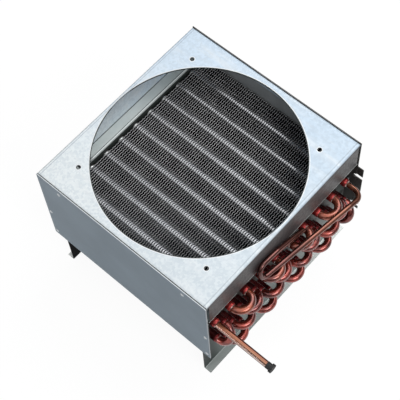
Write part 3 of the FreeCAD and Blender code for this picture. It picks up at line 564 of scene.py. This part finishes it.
fin_count = round((pack_high.x - pack_low.x - FIN_WALL) / FIN_PITCH) + 1
fin_length = pack_high.y - pack_low.y
steps = 2 * math.ceil(fin_length / RIPPLE_PITCH * POINTS_PER_RIPPLE / 2)
bm = bmesh.new()
bmesh.ops.create_grid(bm, x_segments=steps, y_segments=1, size=0.5)
bmesh.ops.scale(bm, verts=bm.verts, vec=(fin_length, pack_high.z - pack_low.z, 1))
bmesh.ops.rotate(bm, verts=bm.verts, matrix=Matrix(((0, 0, 1), (1, 0, 0), (0, 1, 0))))
for vert in bm.verts:
    turn = 2 * math.pi * (vert.co.y + pack_centre.y - first_tube.y) / RIPPLE_PITCH
    vert.co.x += RIPPLE_HEIGHT * math.sin(turn)
bmesh.ops.solidify(bm, geom=bm.faces[:], thickness=FIN_WALL)
bmesh.ops.recalc_face_normals(bm, faces=bm.faces)
one_fin = bpy.data.meshes.new("one_fin")
bm.to_mesh(one_fin)
bm.free()
first_fin = pack_low.x + FIN_WALL / 2 + RIPPLE_HEIGHT
fin_step = FIN_PITCH - 2 * RIPPLE_HEIGHT / (fin_count - 1)
fin_places = [Vector((first_fin + n * fin_step, pack_centre.y, pack_centre.z))
              for n in range(fin_count)]
fins = placed("rippled_fins", [(one_fin, place) for place in fin_places], fin_metal, False)
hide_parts("fin_pack")

# Fin collars. Each hole of a fin is drawn into a collar that flares from the fin and covers
# the tube up to the next one. The punch leaves it smooth, and a painted highlight runs along
# its crown. Its fine rub marks are drawn coarser than they are.
SLEEVE_STEPS = 16
SLEEVE_RINGS = ((0.1 * MM, 2.4 * MM), (1.4 * MM, 2.0 * MM), (2.7 * MM, 0.6 * MM))
PRESS_GAP = 0.02 * MM
CROWN_WIDTH = 1.6 * MM
CROWN_LEAN = 1.0 * MM
PUNCH_MARK = 2.0 * MM

collar_metal, tree, shader, place = start_material("drawn_aluminium_collar",
                                                   {"Metallic": 0.8})
across = add(tree, "ShaderNodeSeparateXYZ", {0: place}).outputs["Y"]
across = add(tree, "ShaderNodeMath", {0: across, 1: first_tube.y + TUBE_PITCH / 4,
                                      2: first_tube.y - TUBE_PITCH / 4},
             operation="WRAP").outputs[0]
# A painted highlight runs along the crown of each collar.
from_crown = from_line(tree, across, first_tube.y - CROWN_LEAN)
drawn = coat(tree, "6C6E72", "D0D2D6", (from_crown, 1.3 * CROWN_WIDTH, 0.7 * CROWN_WIDTH))
tree.links.new(drawn, shader.inputs["Base Color"])
rubbed = add(tree, "ShaderNodeTexNoise", {"Vector": place, "Scale": 1 / PUNCH_MARK,
                                          "Detail": 2.0}).outputs["Fac"]
vary(tree, shader, rubbed, 0.3, 0.7, {"Roughness": (0.1, 0.22)})
sleeve_outline = [(fin_place.x + reach, TUBE_RADIUS + rise)
                  for fin_place in fin_places[:-1] for reach, rise in SLEEVE_RINGS]
sleeve_outline += [(sleeve_outline[-1][0], TUBE_RADIUS + PRESS_GAP),
                   (sleeve_outline[0][0], TUBE_RADIUS + PRESS_GAP)]
sleeve = turned(sleeve_outline, SLEEVE_STEPS)
upper_count = ROWS[0] + ROWS[1]
for name, places in (("upper_fin_collars", tube_places[:upper_count]),
                     ("lower_fin_collars", tube_places[upper_count:])):
    sleeves = placed(name, [(sleeve, place) for place in places], collar_metal, False)

# Hairpins and return bends. Copper tube, bent round at the left and belled at the right, with
# red-brown bends brazed into the bells. The torch has left the bends dark and the bells bright
# red, with painted shade on the bells of the lower rows, and the rest of the tube is plain brown
# copper.
STAIN = 18.2 * MM
BELL_RED = "D8504C"
BELL_DARK = "7A2022"
LOWER_RED = "96383A"
BEND_START = (124 * MM, 127 * MM)
HEAT_START = (plate_inner - 3 * MM, plate_inner + 1 * MM)
TOP_ROW = (first_tube.z - 16 * MM, first_tube.z - 6 * MM)
TOP_ROW_SHARE = 0.85

copper, tree, shader, place = start_material("heat_tinted_copper", {
    "Metallic": 0.75, "Coat Weight": 1.0, "Coat Roughness": 0.12})
axes = add(tree, "ShaderNodeSeparateXYZ", {0: place}).outputs
stain = add(tree, "ShaderNodeTexNoise", {"Vector": place, "Scale": 1 / STAIN,
                                         "Detail": 4.0, "Roughness": 0.6}).outputs["Fac"]
patches = (stain, 0.35, 0.65)
bend_patches = (stain, 0.38, 0.62)
top_row = (axes["Z"], *TOP_ROW)
# Red bells with painted shade in the lower rows, red-brown bends, and brown tube behind the plate.
bell = coat(tree, coat(tree, LOWER_RED, "48171A", patches),
            coat(tree, BELL_RED, BELL_DARK, patches), top_row, share=TOP_ROW_SHARE)
bend = coat(tree, coat(tree, "5A1E1A", "A8463A", bend_patches),
            coat(tree, "6A2C22", "A4583F", bend_patches), top_row, share=TOP_ROW_SHARE)
heated = coat(tree, bell, bend, (axes["X"], *BEND_START))
brown = coat(tree, "A4644C", "7C4836", patches)
tree.links.new(coat(tree, brown, heated, (axes["X"], *HEAT_START)), shader.inputs["Base Color"])
vary(tree, shader, stain, 0.3, 0.7, {"Roughness": (0.2, 0.38)})
for name, node in nodes.items():
    if name.startswith(("hairpin_", "return_bend_")):
        node.material_slots[0].material = copper

# Braze. A long fillet of copper-phosphorus alloy runs round each joint at the bell's mouth.
# The flame has reddened it like the bell, and its far end is silver-grey in patches.
BRAZE_REACH = 3.6 * MM
BRAZE_LAP = 0.4 * MM
BRAZE_SKIN = 0.1 * MM
BRAZE_TIP = 0.06 * MM
BRAZE_PATCH = 6.25 * MM
STUB_RADIUS = 3.97 * MM
LINE_RADIUS = 3.175 * MM
BELL_WALL = 0.54 * MM

mouth_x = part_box("hairpin_01")[1].x
bell_radius = TUBE_RADIUS + BELL_WALL
braze, tree, shader, place = start_material("copper_phosphorus_braze",
                                            {"Metallic": 0.6, "Roughness": 0.35})
axes = add(tree, "ShaderNodeSeparateXYZ", {0: place}).outputs
stain = add(tree, "ShaderNodeTexNoise", {"Vector": place, "Scale": 1 / BRAZE_PATCH,
                                         "Detail": 3.0}).outputs["Fac"]
# The lower rows take the same painted shade as their bells.
reddened = coat(tree, LOWER_RED, BELL_RED, (axes["Z"], *TOP_ROW), share=TOP_ROW_SHARE)
reddened = coat(tree, reddened, BELL_DARK, (stain, 0.35, 0.65))
alloy = coat(tree, "5A3430", "C2B4AC", (stain, 0.46, 0.62))
far_end = (axes["X"], mouth_x + 0.65 * BRAZE_REACH, mouth_x + 0.9 * BRAZE_REACH)
tree.links.new(coat(tree, reddened, alloy, far_end), shader.inputs["Base Color"])


def fillet(tube_radius):
    """Braze that runs from a bell's mouth out on to a tube of the given radius."""
    return turned([
        (mouth_x - BRAZE_LAP, bell_radius + BRAZE_SKIN),
        (mouth_x + BRAZE_SKIN, bell_radius + BRAZE_SKIN),
        (mouth_x + 0.6 * BRAZE_REACH, 0.7 * bell_radius + 0.3 * tube_radius),
        (mouth_x + BRAZE_REACH, tube_radius + BRAZE_TIP),
        (mouth_x + BRAZE_REACH, tube_radius - BRAZE_SKIN),
        (mouth_x - BRAZE_LAP, tube_radius - BRAZE_SKIN)], ROUND_STEPS)


coil_fillet = fillet(TUBE_RADIUS)
joint_fillets = {0: fillet(STUB_RADIUS), ROWS[0] - 1: fillet(LINE_RADIUS)}
fillets = placed("braze_fillets", [(joint_fillets.get(number, coil_fillet), place)
                                   for number, place in enumerate(tube_places)], braze)

# Inlet stub and liquid line. Drawn copper tube. The straight stub is pink-orange with painted
# reflections in pale and dark bands along it, and browner toward its joint. The line that is bent
# over the top bends is browner all along, and more orange toward its joint.
TARNISH = 33.3 * MM
STUB_BROWN = (185 * MM, 140 * MM)
LINE_ORANGE = (-40 * MM, 90 * MM)
STUB_GAP = 4 * MM
STUB_FADE = 6 * MM
REFLECTIONS_FACE = (0, -0.94, -0.34)
REFLECTION_BANDS = ((-0.7, -0.55, "6A3A22"), (-0.4, -0.2, "C08A6C"), (0.0, 0.12, "4A2A1E"),
           (0.36, 0.44, "FFE6DC"), (0.7, 0.8, "5E342E"))

bright, tree, shader, place = start_material("drawn_copper_tube", {
    "Metallic": 0.85, "Coat Weight": 0.6, "Coat Roughness": 0.1})
axes = add(tree, "ShaderNodeSeparateXYZ", {0: place}).outputs
stain = add(tree, "ShaderNodeTexNoise", {"Vector": place, "Scale": 1 / TARNISH,
                                         "Detail": 3.0}).outputs["Fac"]
tarnish = (stain, 0.4, 0.64)
line_tone = coat(tree, coat(tree, "784640", "582F29", tarnish),
                 coat(tree, "88523C", "663829", tarnish), (axes["Y"], *LINE_ORANGE))
# Painted reflections in bands along the stub, by their height round its front side.
from_stub = add(tree, "ShaderNodeVectorMath", {0: place, 1: (0, first_tube.y, first_tube.z)},
                operation="SUBTRACT").outputs[0]
round_stub = add(tree, "ShaderNodeVectorMath",
                 {0: from_stub, 1: [share / STUB_RADIUS for share in REFLECTIONS_FACE]},
                 operation="DOT_PRODUCT").outputs["Value"]
stub_tone = "6A3A28"
for start, end, tone in REFLECTION_BANDS:
    stub_tone = coat(tree, stub_tone, tone, (round_stub, start, end))
stub_tone = coat(tree, stub_tone, "984A22", (axes["X"], *STUB_BROWN), share=0.35)
stub_tone = coat(tree, stub_tone, "6E3A24", tarnish, share=0.35)
stub_side = stub_high.y + STUB_GAP
tone = coat(tree, stub_tone, line_tone, (axes["Y"], stub_side, stub_side + STUB_FADE))
tree.links.new(tone, shader.inputs["Base Color"])
vary(tree, shader, stain, 0.3, 0.7, {"Roughness": (0.12, 0.24)})
for name in ("inlet_stub", "liquid_line"):
    nodes[name].material_slots[0].material = bright

# Plug. A moulded black polyethylene cap, pushed into the stub to keep the circuit clean and
# dry until it is connected. It is matt, and its fine mould marks are drawn coarser than they are.
MOULD_MARK = 2.0 * MM
black_plug, tree, shader, place = start_material("moulded_polyethylene",
                                                 {"Base Color": "0C0E10"})
fine = add(tree, "ShaderNodeTexNoise", {"Vector": place, "Scale": 1 / MOULD_MARK,
                                        "Detail": 2.0}).outputs["Fac"]
vary(tree, shader, fine, 0.3, 0.7, {"Roughness": (0.5, 0.7)})
nodes["inlet_plug"].material_slots[0].material = black_plug

# Rivets. Aluminium pop rivets with a domed head, bright and slightly dulled by handling. The
# scuffs are drawn coarser than they are.
SCUFF_MARK = 1.67 * MM
rivet_metal, tree, shader, place = start_material("aluminium_pop_rivet", {
    "Base Color": "D8DCDE", "Metallic": 0.7})
fine = add(tree, "ShaderNodeTexNoise", {"Vector": place, "Scale": 1 / SCUFF_MARK,
                                        "Detail": 2.0}).outputs["Fac"]
vary(tree, shader, fine, 0.3, 0.7, {"Roughness": (0.28, 0.44)})
for name in ("front_rivets", "rear_rivets"):
    nodes[name].material_slots[0].material = rivet_metal
